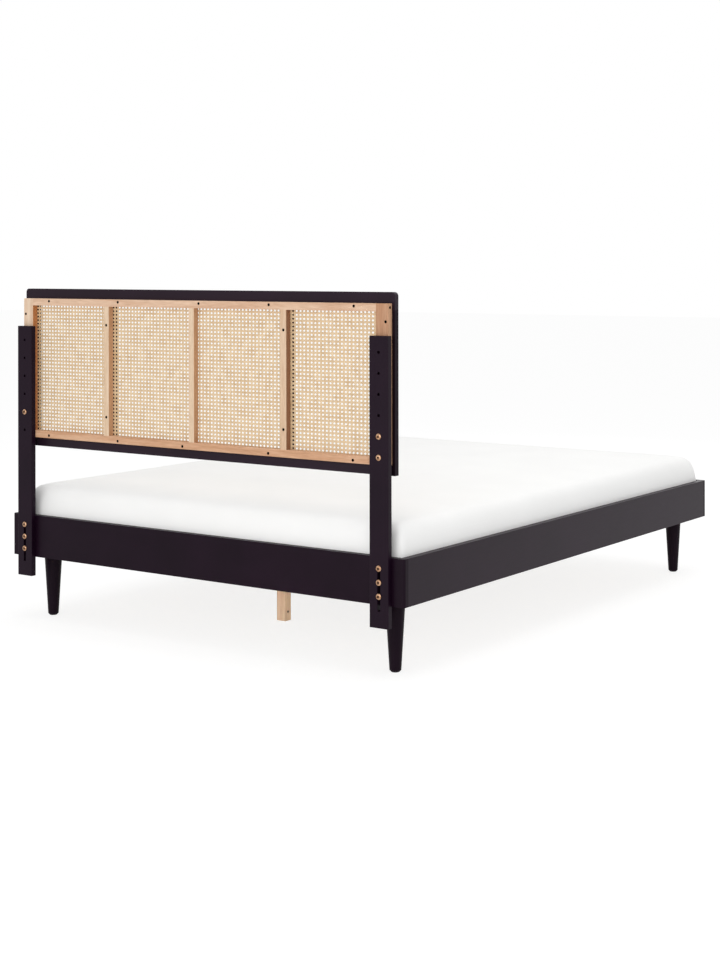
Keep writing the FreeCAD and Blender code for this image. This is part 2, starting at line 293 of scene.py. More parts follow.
@dataclass(frozen=True)
class SandedWood(Finish):
    """Rubberwood or pine, planed and sanded and left without oil.

    To the eye it is pale and matt with soft growth lines and short pore streaks. The faces
    that look sideways take a tone of their own, set piece by piece as painted light and
    shade, mostly the shade that falls deep between the pieces.

    Attributes:
        side: sRGB colour of the faces that look sideways, painted light and shade.
        pore: sRGB colour that the pore streaks multiply by.
        pore_stops: Places of the streaks' two tones.
        streak: Share of the streaks on the faces that don't look sideways.
    """

    tone_mm: float = 28.0
    tone_detail: float = 7.0
    stops: Row = (0.22, 0.42, 0.6, 0.82)
    fine_mm: float = 2.1  # Pores of 0.2 mm wouldn't show, so they are drawn coarser.
    fine_detail: float = 6.0
    rough: Pair = (0.56, 0.68)
    relief: float = 0.22
    relief_mm: float = 0.5
    gloss: float = 0.3
    bend: float = 1.4
    side: str = "d4b88c"
    pore: str = "e4dfd9"
    pore_stops: Pair = (0.3, 0.62)
    streak: float = 0.9

    def colour(self, tree: Tree, place: Socket, along: Socket, fine: Socket) -> Socket:
        """Colour the wood in growth lines and pore streaks.

        Args:
            tree: The material's node tree.
            place: Object coordinates; not used.
            along: The same, drawn out along the grain.
            fine: The pattern of the pores.

        Returns:
            The colour.
        """
        growth = super().colour(tree, along, along, fine)
        streaks = add_node(
            tree, "ValToRGB",
            {"stops": dict(zip(self.pore_stops, (self.pore, "ffffff")))},
            {"Fac": fine}).outputs["Color"]
        multiply = {"data_type": "RGBA", "blend_type": "MULTIPLY"}
        face = add_node(tree, "Mix", {**multiply, 0: self.streak}, {6: growth, 7: streaks})
        edge = add_node(tree, "Mix", {**multiply, 0: 1.0, 7: linear(self.side)}, {6: streaks})
        # Faces that look along X take the side colour in place of the growth lines, as painted
        # light and shade.
        normal = add_node(tree, "NewGeometry").outputs["True Normal"]
        axes = add_node(tree, "SeparateXYZ", links={0: normal})
        sideways = add_node(tree, "Math", {"operation": "ABSOLUTE"}, {0: axes.outputs["X"]})
        return add_node(tree, "Mix", {"data_type": "RGBA"},
                        {0: sideways.outputs[0], 6: face.outputs[2],
                         7: edge.outputs[2]}).outputs[2]


@dataclass(frozen=True)
class DrilledWood(SandedWood):
    """Sanded wood with a blind hole from its -X side, with painted shade on its wall and rim.

    Attributes:
        hole_y: Place of the hole along the bed, in metres.
        hole_z: Its height in metres.
        hole_radius: Radius of the painted shade round the hole's axis, in metres.
        painted_hole_shade: sRGB colour of the painted shade in the hole.
    """

    hole_y: float = 0.5732
    hole_z: float = 0.0295
    hole_radius: float = 4.2 * MM
    # The dark colour in the hole is painted shade.
    painted_hole_shade: str = "1e140d"

    def colour(self, tree: Tree, place: Socket, along: Socket, fine: Socket) -> Socket:
        """Colour the wood, with painted shade in the hole and on its rim.

        Args:
            tree: The material's node tree.
            place: Object coordinates.
            along: The same, drawn out along the grain.
            fine: The pattern of the pores.

        Returns:
            The colour.
        """
        axes = add_node(tree, "SeparateXYZ", links={0: place})
        flat = add_node(tree, "CombineXYZ", links={"Y": axes.outputs["Y"], "Z": axes.outputs["Z"]})
        away = add_node(tree, "VectorMath",
                        {"operation": "DISTANCE", 1: (0.0, self.hole_y, self.hole_z)},
                        {0: flat.outputs[0]})
        near, drilled = (
            add_node(tree, "Math", {"operation": "LESS_THAN", 1: limit}, {0: value}).outputs[0]
            for value, limit in ((away.outputs["Value"], self.hole_radius),
                                 (axes.outputs["X"], 0.0)))
        # Inside the hole and on its rim the colour is painted dark, as shade.
        hole = add_node(tree, "Math", {"operation": "MULTIPLY"}, {0: near, 1: drilled})
        return add_node(tree, "Mix", {"data_type": "RGBA", 7: linear(self.painted_hole_shade)},
                        {0: hole.outputs[0],
                         6: super().colour(tree, place, along, fine)}).outputs[2]


@dataclass(frozen=True)
class PeeledCane(Finish):
    """Rattan skin, peeled, split and woven dry.

    To the eye it is straw in uneven tones along each strand, with a faint gloss.
    """

    grain: Grain = Grain.EVEN
    tone_mm: float = 30.0
    tone_detail: float = 5.0
    stops: Row = (0.3, 0.62)
    fine_mm: float = 1.1  # Fibres of 0.3 mm wouldn't show, so they are drawn coarser.
    fine_detail: float = 3.0
    rough: Pair = (0.42, 0.56)
    relief: float = 0.2
    relief_mm: float = 0.2


@dataclass(frozen=True)
class PlatedSteel(Finish):
    """Cold-headed steel, tumbled and then plated or blackened.

    To the eye it is metal with the slight haze of tumbling, soft glints and fine scratches.
    """

    grain: Grain = Grain.X
    tone_mm: float = 5.5
    tone_detail: float = 4.0
    stops: Row = (0.35, 0.65)
    fine_mm: float = 0.6  # Scratches of 0.05 mm wouldn't show, so they are drawn coarser.
    rough: Pair = (0.25, 0.35)
    relief: float = 0.08
    relief_mm: float = 0.1
    metallic: float = 1.0


@dataclass(frozen=True)
class Fabric(Finish):
    """Knitted polyester ticking, or woven polypropylene tape.

    To the eye it is matt and soft, with rows of fine stitches and a slight sheen.

    Attributes:
        waver: How far a row of stitches strays.
    """

    grain: Grain = Grain.EVEN
    tone_mm: float = 200.0
    tone_detail: float = 3.0
    stops: Row = (0.25, 0.7)
    fine_mm: float = 2.4  # Rows 1 mm apart wouldn't show, so they are drawn coarser.
    rough: Pair = (0.8, 0.92)
    relief: float = 0.12
    relief_mm: float = 0.4
    gloss: float = 0.2
    sheen: float = 0.25
    waver: float = 0.4

    def fine(self, tree: Tree, along: Socket) -> Socket:
        """Draw rows of stitches along X, Y and Z.

        Args:
            tree: The material's node tree.
            along: Object coordinates.

        Returns:
            The sum of the rows.
        """
        # A wave texture of scale one repeats every tau / 20 metres.
        scale = per_metre(self.fine_mm) * math.tau / 20
        shape = {"Scale": scale, "Distortion": self.waver, "Detail": self.fine_detail}
        first, *others = (
            add_node(tree, "TexWave", {**shape, "bands_direction": axis},
                     {"Vector": along}).outputs["Fac"] for axis in "XYZ")
        for rows in others:
            first = add_node(tree, "Math", {"operation": "ADD"}, {0: first, 1: rows}).outputs[0]
        return first


# Lacquered beech and board: black-plum. The five are copies of one paint, with tone and gloss
# set part by part as painted light and shade: darker and duller on the legs and the front
# stiles (painted shade), lighter and glossier on the long sides (painted light and sheen).
PAINT_ENDS = SatinPaint("sprayed_paint_ends", ("130512", "190918"), Grain.X, gloss=0.09)
PAINT_SIDES = SatinPaint("sprayed_paint_sides", ("160615", "1c0a1b"), Grain.Y, gloss=0.17)
PAINT_POSTS = SatinPaint("sprayed_paint_posts", ("140514", "1a0919"), Grain.Z, gloss=0.105)
PAINT_PANEL = SatinPaint("sprayed_paint_panel", ("1b0c19", "221221"), Grain.X, gloss=0.15)
PAINT_LEGS = SatinPaint("sprayed_paint_legs", ("150a14", "1b0f1a"), Grain.Z, gloss=0.06)
# Rubberwood backing: each piece came from another board, so the tones differ. The side
# colours are painted light and shade on the faces that look sideways.
WOOD_TOP_RAIL = SandedWood(
    "sanded_rubberwood_top_rail", ("c39a7a", "d6b093", "e2c1a6"), Grain.X, side="c99a72")
WOOD_LOW_RAIL = SandedWood(
    "sanded_rubberwood_low_rail", ("b78863", "cd9f7d", "dab191"),
    Grain.X, side="c0906a", shift=8.4)
WOOD_STILE_LEFT = SandedWood(
    "sanded_rubberwood_stile_left", ("9c6e4b", "b78868", "c69b7c"),
    Grain.Z, side="d2a684", shift=3.1)
WOOD_STILE_RIGHT = SandedWood(
    "sanded_rubberwood_stile_right", ("d5af91", "e6cab0", "ecd5bd"),
    Grain.Z, side="bb7b4a", shift=5.7)
WOOD_MULLION = SandedWood(
    "sanded_rubberwood_mullion", ("cba787", "dcbfa0", "e6cdb2"), Grain.Z, side="c69a75", shift=9.3)
WOOD_MULLION_BROWN = SandedWood(
    "sanded_rubberwood_mullion_brown", ("c09a7a", "d4b395", "e0c3a8"),
    Grain.Z, side="94684c", shift=12.9)
# Square centre legs of rubberwood: paler, as their colour is raised against the shade under
# the bed (painted light), and with painted shade in the hole.
WOOD_LEG_HEAD = DrilledWood(
    "sanded_rubberwood_leg_head", ("cfa887", "e4c2a2", "eed2b6"),
    Grain.Z, side="e2c2a2", shift=4.5)
WOOD_LEG_FOOT = replace(WOOD_LEG_HEAD, name="sanded_rubberwood_leg_foot", hole_y=-0.5947)
# Pine inside the box: yellower and plainer than the backing.
WOOD_SLATS = SandedWood(
    "planed_pine_slats", ("c9a675", "dcc194", "e8d3b0"), Grain.X, shift=2.2)
WOOD_BEAM = SandedWood(
    "planed_pine_beam", ("c09a69", "d6ba8e", "e2cba6"), Grain.Y, side="cdae82", shift=6.4)
# Dry straw cane, and cloths that are off-white in the tape and white in the cover.
CANE = PeeledCane("peeled_cane", ("ccac82", "dcc19b"))
WEBBING = Fabric("woven_polypropylene", ("cfcbc0", "dedbd2"), fine_mm=1.6)
TICKING = Fabric("knitted_polyester", ("f3f3f2", "f6f6f5"))
# Yellowed brass with a darker brass in the recesses as painted shade, cold grey zinc and
# black oxide that hardly glints.
BRASS = PlatedSteel("brass_plated_steel", ("8a6248", "c9a384"))
BRASS_RECESS_SHADE = PlatedSteel("brass_recess_painted_shade", ("4a372b", "6e5442"), rough=(0.4, 0.5))
ZINC = PlatedSteel("zinc_plated_steel", ("a9abae", "c4c6c8"), rough=(0.33, 0.43))
BLACK_STEEL = PlatedSteel("blackened_steel", ("030202", "070403"), rough=(0.55, 0.65))

NODE_FINISHES: tuple[tuple[str, Finish], ...] = (
    ("head_rail", PAINT_ENDS), ("foot_rail", PAINT_ENDS), ("side_rail", PAINT_SIDES),
    ("leg_studs", BLACK_STEEL), ("leg_", PAINT_LEGS), ("post_", PAINT_POSTS),
    # The front stiles take the legs' darker, duller paint, as painted shade.
    ("front_stile", PAINT_LEGS), ("front_mullion", PAINT_POSTS), ("front_", PAINT_PANEL),
    ("backing_top_rail", WOOD_TOP_RAIL), ("backing_bottom_rail", WOOD_LOW_RAIL),
    ("backing_stile_left", WOOD_STILE_LEFT), ("backing_stile_right", WOOD_STILE_RIGHT),
    ("backing_mullion_left", WOOD_MULLION_BROWN), ("backing_mullion", WOOD_MULLION),
    ("centre_leg_head", WOOD_LEG_HEAD), ("centre_leg_foot", WOOD_LEG_FOOT),
    ("slat_webbing", WEBBING), ("slat_ledge", WOOD_BEAM), ("centre_beam", WOOD_BEAM),
    ("slat_", WOOD_SLATS), ("corner_block", WOOD_SLATS), ("beam_hanger", ZINC),
    ("rail_bolts", BRASS), ("panel_bolts", BRASS), ("cane_sheet", CANE), ("mattress", TICKING),
)


@dataclass
class Workshop:
    """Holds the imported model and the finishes, and makes objects of meshes.

    Attributes:
        nodes: The CAD nodes by name.
        materials: Finished materials by name.
        crease: Angle in degrees past which an edge stays crisp.
    """

    nodes: dict[str, Object]
    materials: dict[str, Material] = field(default_factory=dict)
    crease: float = 38.0

    def material(self, finish: Finish) -> Material:
        """Return a finish's material, built when it is first asked for.

        Args:
            finish: The finish.

        Returns:
            Its material.
        """
        if finish.name not in self.materials:
            self.materials[finish.name] = finish.build()
        return self.materials[finish.name]

    def dress_nodes(self) -> None:
        """Give every CAD node its material."""
        for name, node in self.nodes.items():
            finish = next(finish for start, finish in NODE_FINISHES if name.startswith(start))
            if not node.material_slots:
                node.data.materials.append(None)
            for slot in node.material_slots:
                slot.material = self.material(finish)
        LOG.info("dressed %d nodes", len(self.nodes))

    def place(self, name: str, shape: BMesh, *finishes: Finish) -> Object:
        """Turn a mesh into an object at the origin.

        Args:
            name: The object's name.
            shape: Its mesh, which is freed.
            finishes: Its finishes, in the order of the faces' material numbers.

        Returns:
            The object.
        """
        mesh = bpy.data.meshes.new(name)
        bmesh.ops.recalc_face_normals(shape, faces=shape.faces)
        shape.to_mesh(mesh)
        shape.free()
        for finish in finishes:
            mesh.materials.append(self.material(finish))
        mesh.shade_smooth()
        mesh.set_sharp_from_angle(angle=math.radians(self.crease))
        piece = bpy.data.objects.new(name, mesh)
        bpy.context.scene.collection.objects.link(piece)
        return piece

    def settle(self, piece: Object) -> None:
        """Apply a piece's modifiers.

        Args:
            piece: The piece.
        """
        graph = bpy.context.evaluated_depsgraph_get()
        mesh = bpy.data.meshes.new_from_object(piece.evaluated_get(graph))
        piece.modifiers.clear()
        piece.data = mesh

    def keep(self, piece: Object, body: Body, slot: Slot, *replaced: str) -> None:
        """Hand a finished piece to the frame.

        Args:
            piece: The piece.
            body: The body that it rides on.
            slot: Its slot in the record; not used.
            replaced: CAD nodes that it replaces.
        """
        if replaced:
            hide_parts(*replaced)
        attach(piece, body.value)
        LOG.info("%s: %d faces", piece.name, len(piece.data.polygons))


@dataclass(frozen=True)
class Fastener:
    """A turned fastener along +Z with a recess for the driver, in millimetres.

    Attributes:
        outline: Radius and height of each point, from the tip to the recess.
        sides: Number of sides of the recess.
        recess_radius: Radius of the recess over its corners.
        recess_top: Height of the recess's mouth.
        recess_depth: Depth of the recess.
        steps: Faces round the fastener.
    """

    outline: Pairs
    sides: int
    recess_radius: float
    recess_top: float
    recess_depth: float
    steps: int = 36

    def build(self) -> Mesh:
        """Spin the outline and sink the recess.

        Returns:
            The fastener's mesh, whose recess takes the second material, chosen darker to paint
            the shade in it.
        """
        shape = bmesh.new()
        points = [shape.verts.new((radius * MM, 0, height * MM))
                  for radius, height in self.outline]
        path = [shape.edges.new(pair) for pair in zip(points, points[1:])]
        bmesh.ops.spin(shape, geom=points + path, cent=(0, 0, 0), axis=(0, 0, 1),
                       angle=math.tau, steps=self.steps, use_merge=True)
        bmesh.ops.remove_doubles(shape, verts=shape.verts, dist=WELD)
        rim = [edge for edge in shape.edges if edge.is_boundary]
        before = set(shape.faces)
        mouth = bmesh.ops.create_circle(
            shape, segments=self.sides, radius=self.recess_radius * MM)["verts"]
        bmesh.ops.translate(shape, verts=mouth, vec=(0, 0, self.recess_top * MM))
        sides = list({edge for vert in mouth for edge in vert.link_edges})
        bmesh.ops.bridge_loops(shape, edges=rim + sides)
        sunk = bmesh.ops.extrude_edge_only(shape, edges=sides)["geom"]
        floor = [item for item in sunk if isinstance(item, BMVert)]
        bmesh.ops.translate(shape, verts=floor, vec=(0, 0, -self.recess_depth * MM))
        bmesh.ops.contextual_create(
            shape, geom=[item for item in sunk if isinstance(item, BMEdge)])
        for face in set(shape.faces) - before:
            face.material_index = 1
        bmesh.ops.recalc_face_normals(shape, faces=shape.faces)
        mesh = bpy.data.meshes.new("fastener")
        shape.to_mesh(mesh)
        shape.free()
        return mesh

    def copies(self, places: list[Matrix]) -> BMesh:
        """Repeat the fastener.

        Args:
            places: Where the fasteners go.

        Returns:
            One mesh with a fastener at every place.
        """
        single = self.build()
        shape = bmesh.new()
        for place in places:
            copy = single.copy()
            copy.transform(place)
            shape.from_mesh(copy)
            bpy.data.meshes.remove(copy)
        bpy.data.meshes.remove(single)
        return shape


def near_ends(low: float, high: float, inset: float) -> Pair:
    """Return the upper and the lower place that lie an inset in millimetres from the ends."""
    return high - inset * MM, low + inset * MM


@dataclass(frozen=True)
class Hardware:
    """The bed's visible bolts and screws, in millimetres.

    Attributes:
        dome: Radius and height of each point of a bolt's head, from its underside inwards.
        head: Radius of a bolt's head.
        rise: Height of a bolt's head.
        rail_shank: Radius of the rail bolts' shanks.
        panel_shank: Radius of the panel bolts' shanks.
        rail_spots: Side and share of the height of each rail bolt.
        panel_spots: Side and share of the height of each panel bolt.
        backing_head: Radius of the backing's screw heads.
        deck_head: Radius of the deck's screw heads.
        rows: Places across of the screws in the backing's top and bottom rail.
        edge: From the backing's outer edges to its screws.
        stile_end: From a stile's ends to its rear screws.
        side_end: From a stile's ends to the screws in its side.
        mullion_end: From a mullion's ends to its screws.
        ledge_screws: Number of screws in a slat ledge.
        hanger_end: From a hanger's ends to its screws.
        hanger_plate: Thickness of a hanger's plate.
        first_turn: Turn of the first bolt's recess in degrees.
        bolt_turn: Further turn of each next bolt.
        screw_turn: Further turn of each next screw.
    """

    dome: Pairs = (
        (8.4, 0.0), (9.0, 0.4), (9.0, 1.1), (8.5, 1.8), (7.4, 2.6), (5.8, 3.05), (4.6, 3.2),
        (4.1, 3.15))
    head: float = 9.0
    rise: float = 3.2
    rail_shank: float = 4.0
    panel_shank: float = 3.0
    rail_spots: Pairs = ((-1, 1.0), (-1, 0.5), (-1, 0.0), (1, 1.0), (1, 0.5), (1, 0.0))
    panel_spots: Pairs = ((-1, 1.0), (-1, 0.0), (1, 1.0))
    backing_head: float = 4.4
    deck_head: float = 4.0
    rows: tuple[Row, ...] = (
        (622.3, 311.0, -30.0, -306.6, -619.9), (623.1, 312.2, 37.2, -304.0, -616.1))
    edge: float = 8.5
    stile_end: float = 52.0
    side_end: float = 11.5
    mullion_end: float = 60.0
    ledge_screws: int = 4
    hanger_end: float = 12.0
    hanger_plate: float = 2.0
    first_turn: float = 17.0
    bolt_turn: float = 37.0
    screw_turn: float = 29.0

    def bolt(self, shank: float, length: float) -> Fastener:
        """Draw a domed furniture bolt with a six-sided recess.

        Args:
            shank: Radius of the shank.
            length: Length below the head.

        Returns:
            The bolt, with the underside of its head at height zero.
        """
        # The tip is bevelled over its last millimetre.
        shaft = ((0.0, -length), (shank * 0.8, -length), (shank, 1.0 - length), (shank, 0.0))
        return Fastener(shaft + self.dome, sides=6, recess_radius=3.8, recess_top=3.0,
                        recess_depth=2.4)

    def screw_head(self, radius: float) -> Fastener:
        """Draw a countersunk screw's head, flush with the wood.

        Args:
            radius: Its radius.

        Returns:
            The head, with the wood's surface at height zero.
        """
        outline = ((0.0, -0.2), (radius, -0.2), (radius, 0.25), (radius * 0.92, 0.4),
                   (radius * 0.55, 0.36))
        return Fastener(outline, sides=4, recess_radius=radius * 0.5, recess_top=0.34,
                        recess_depth=0.24, steps=20)

    def bolt_set(self, shop: Workshop, node: str, shank: float, body: Body, spots: Pairs) -> None:
        """Replace a node of bolts.

        Args:
            shop: The workshop.
            node: The node's name.
            shank: Radius of the shanks.
            body: The body that they ride on.
            spots: Side and share of the height of each bolt.
        """
        low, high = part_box(node)
        right = high[0] - self.head * MM
        top, bottom = near_ends(low[2], high[2], self.head)
        upright = Matrix.Rotation(-math.pi / 2, 4, "X")
        places = []
        for number, (side, share) in enumerate(spots):
            seat = (side * right, high[1] - self.rise * MM, bottom + (top - bottom) * share)
            turn = math.radians(self.first_turn + self.bolt_turn * number)
            places.append(Matrix.Translation(seat) @ upright @ Matrix.Rotation(turn, 4, "Z"))
        shape = self.bolt(shank, (high[1] - low[1]) / MM - self.rise).copies(places)
        # The recesses take the darker brass, as painted shade.
        piece = shop.place(node.replace("bolts", "bolt_set"), shape, BRASS, BRASS_RECESS_SHADE)
        shop.keep(piece, body, Slot.BRASS, node)

    def screw_set(self, shop: Workshop, name: str, radius: float, body: Body,
                  slot: Slot, finish: Finish, spots: Spots) -> None:
        """Add a set of screw heads.

        Args:
            shop: The workshop.
            name: The new piece's name.
            radius: Radius of a head.
            body: The body that they ride on.
            slot: Their slot in the record.
            finish: Their finish.
            spots: Place in metres and outward direction of each head.
        """
        places = [Matrix.Translation(place)
                  @ Vector((0, 0, 1)).rotation_difference(outward).to_matrix().to_4x4()
                  @ Matrix.Rotation(math.radians(self.screw_turn * number), 4, "Z")
                  for number, (place, outward) in enumerate(spots)]
        shape = self.screw_head(radius).copies(places)
        # The recesses take blackened steel, as painted shade.
        shop.keep(shop.place(name, shape, finish, BLACK_STEEL), body, slot)

    def backing_spots(self) -> Spots:
        """Find the screws in the bare wood frame.

        Returns:
            Place and outward direction of each screw.
        """
        rear = Vector((0, 1, 0))
        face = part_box("backing_top_rail")[1][1]
        levels = near_ends(
            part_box("backing_bottom_rail")[0][2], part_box("backing_top_rail")[1][2], self.edge)
        spots = [(Vector((x * MM, face, z)), rear)
                 for z, row in zip(levels, self.rows) for x in row]
        for side, name in ((-1, "backing_stile_left"), (1, "backing_stile_right")):
            low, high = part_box(name)
            outer = high[0] if side > 0 else low[0]
            spots += [(Vector((outer - side * self.edge * MM, face, z)), rear)
                      for z in near_ends(low[2], high[2], self.stile_end)]
            spots += [(Vector((outer, (low[1] + high[1]) / 2, z)), Vector((side, 0, 0)))
                      for z in near_ends(low[2], high[2], self.side_end)]
        for name in ("backing_mullion_left", "backing_mullion_right"):
            low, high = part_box(name)
            spots += [(Vector(((low[0] + high[0]) / 2, face, z)), rear)
                      for z in near_ends(low[2], high[2], self.mullion_end)]
        return spots

    def deck_spots(self) -> Spots:
        """Find the screws in the ledges and the beam hangers.

        Returns:
            Place and outward direction of each screw.
        """
        spots = []
        for side, name in ((-1, "slat_ledge_left"), (1, "slat_ledge_right")):
            low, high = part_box(name)
            inner = low[0] if side > 0 else high[0]
            spacing = (high[1] - low[1]) / self.ledge_screws
            spots += [(Vector((inner, low[1] + spacing * (step + 0.5), (low[2] + high[2]) / 2)),
                       Vector((-side, 0, 0))) for step in range(self.ledge_screws)]
        for inward, name in ((-1, "beam_hanger_head"), (1, "beam_hanger_foot")):
            low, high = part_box(name)
            plate = near_ends(low[1], high[1], self.hanger_plate)[max(inward, 0)]
            spots += [(Vector((x, plate, (low[2] + high[2]) / 2)), Vector((0, inward, 0)))
                      for x in reversed(near_ends(low[0], high[0], self.hanger_end))]
        return spots

    def build(self, shop: Workshop) -> None:
        """Make every bolt and screw.

        Args:
            shop: The workshop.
        """
        self.bolt_set(shop, "rail_bolts", self.rail_shank, Body.FRAME, self.rail_spots)
        self.bolt_set(shop, "panel_bolts", self.panel_shank, Body.HEADBOARD, self.panel_spots)
        self.screw_set(shop, "backing_screws", self.backing_head, Body.HEADBOARD, Slot.DARK,
                       BLACK_STEEL, self.backing_spots())
        self.screw_set(shop, "deck_screws", self.deck_head, Body.FRAME, Slot.ZINC, ZINC,
                       self.deck_spots())


@dataclass(frozen=True)
class CanePanel:
    """The cane sheet: upright and level pairs of strands, with slanted strands through them.

    Attributes:
        pitch_x: Distance between holes across, in metres.
        pitch_z: Distance between holes up, in metres.
        first_x: A hole's centre across.
        first_z: A hole's centre up.
        upright: Width of an upright strand.
        level: Width of a level strand.
        slanted: Width of a slanted strand.
        thickness: Thickness of a strand.
        over: Depth of a strand that passes over others.
        middle: Depth half way.
        under: Depth of a strand that passes under others.
        gap: Space between a strand and the edge of its cell.
    """

    pitch_x: float = 13.82 * MM
    pitch_z: float = 11.69 * MM
    first_x: float = 169.8 * MM
    first_z: float = 776.97 * MM
    upright: float = 3.1 * MM
    level: float = 2.7 * MM
    slanted: float = 2.4 * MM
    thickness: float = 0.4 * MM
    over: float = 0.72 * MM
    middle: float = 0.4 * MM
    under: float = 0.1 * MM
    gap: float = 0.2 * MM

    def lay_strand(self, shape: BMesh, width: float,
                   *points: Point) -> None:
        """Draw a three-sided strand through points, its ridge to the rear.

        Args:
            shape: The mesh.
            width: The strand's width.
            points: Places across, up and deep, from the cell's middle.
        """
        places = [Vector((x, depth, z)) for x, z, depth in points]
        run = places[-1] - places[0]
        across = Vector((run.z, 0, -run.x)).normalized()
        ring = bmesh.ops.create_circle(shape, segments=3, radius=1)["verts"]
        # The circle is a triangle 1.5 high and sqrt(3) wide, its middle a third of the way up.
        section = Matrix((across * width / math.sqrt(3), Vector((0, self.thickness / 1.5, 0)),
                          run.normalized())).transposed().to_4x4()
        bmesh.ops.transform(shape, matrix=Matrix.Translation(
            places[0] + Vector((0, self.thickness / 3, 0))) @ section, verts=ring)
        edges = list({edge for vert in ring for edge in vert.link_edges})
        for start, end in zip(places, places[1:]):
            grown = bmesh.ops.extrude_edge_only(shape, edges=edges)["geom"]
            ring = [item for item in grown if isinstance(item, BMVert)]
            edges = [item for item in grown if isinstance(item, BMEdge)]
            bmesh.ops.translate(shape, verts=ring, vec=end - start)

    def cell(self) -> BMesh:
        """Lay the strands of one cell.

        Returns:
            Its mesh, with the cell's hole at the origin.
        """
        shape = bmesh.new()
        half_x, half_z = self.pitch_x / 2, self.pitch_z / 2
        side = half_x - self.gap - self.upright / 2
        rise = half_z - self.gap - self.level / 2
        for x, end in ((-side, self.over), (side, self.under)):
            self.lay_strand(shape, self.upright, (x, -half_z, end), (x, 0, self.middle),
                            (x, half_z, end))
        for z, crest in ((rise, self.over), (-rise, self.under)):
            self.lay_strand(shape, self.level, (-half_x, z, self.middle), (0, z, crest),
                            (half_x, z, self.middle))
        for sign, depth in ((1, self.over), (-1, self.under)):
            self.lay_strand(shape, self.slanted, (-half_x, 0, depth), (0, sign * half_z, depth))
            self.lay_strand(shape, self.slanted, (0, -sign * half_z, depth), (half_x, 0, depth))
        return shape

    def bays(self) -> list[tuple[int, int]]:
        """Divide the sheet at the middles of the backing's mullions.

        Returns:
            The first column and the number of columns of each bay.
        """
        low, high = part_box("cane_sheet")
        seams = [low[0] + self.pitch_x / 2]
        for name in ("left", "centre", "right"):
            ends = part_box(f"backing_mullion_{name}")
            seams.append((ends[0][0] + ends[1][0]) / 2)
        seams.append(high[0] - self.pitch_x / 2)
        columns = [math.ceil((seam - self.first_x) / self.pitch_x) for seam in seams]
        return [(first, after - first) for first, after in zip(columns, columns[1:])]

    def build(self, shop: Workshop) -> None:
        """Weave four bays that meet behind the mullions, in place of the plain sheet.

        Args:
            shop: The workshop.
        """
        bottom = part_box("backing_bottom_rail")[1][2]
        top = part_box("backing_top_rail")[0][2]
        row = math.floor((bottom - self.first_z) / self.pitch_z + 0.5)
        rows = math.ceil((top - self.first_z) / self.pitch_z + 0.5) - row
        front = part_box("cane_sheet")[0][1]
        for number, (column, columns) in enumerate(self.bays(), start=1):
            piece = shop.place(f"cane_bay_{number}", self.cell(), CANE)
            for count, step in ((columns, (self.pitch_x, 0, 0)), (rows, (0, 0, self.pitch_z))):
                array = piece.modifiers.new("repeat", "ARRAY")
                array.count = count
                array.use_relative_offset = False
                array.use_constant_offset = True
                array.constant_offset_displace = step
                array.use_merge_vertices = True
                array.merge_threshold = WELD
            shop.settle(piece)
            piece.data.transform(Matrix.Translation((
                self.first_x + column * self.pitch_x, front, self.first_z + row * self.pitch_z)))
            shop.keep(piece, Body.HEADBOARD, Slot.CANE, *(("cane_sheet",) if number == 1 else ()))


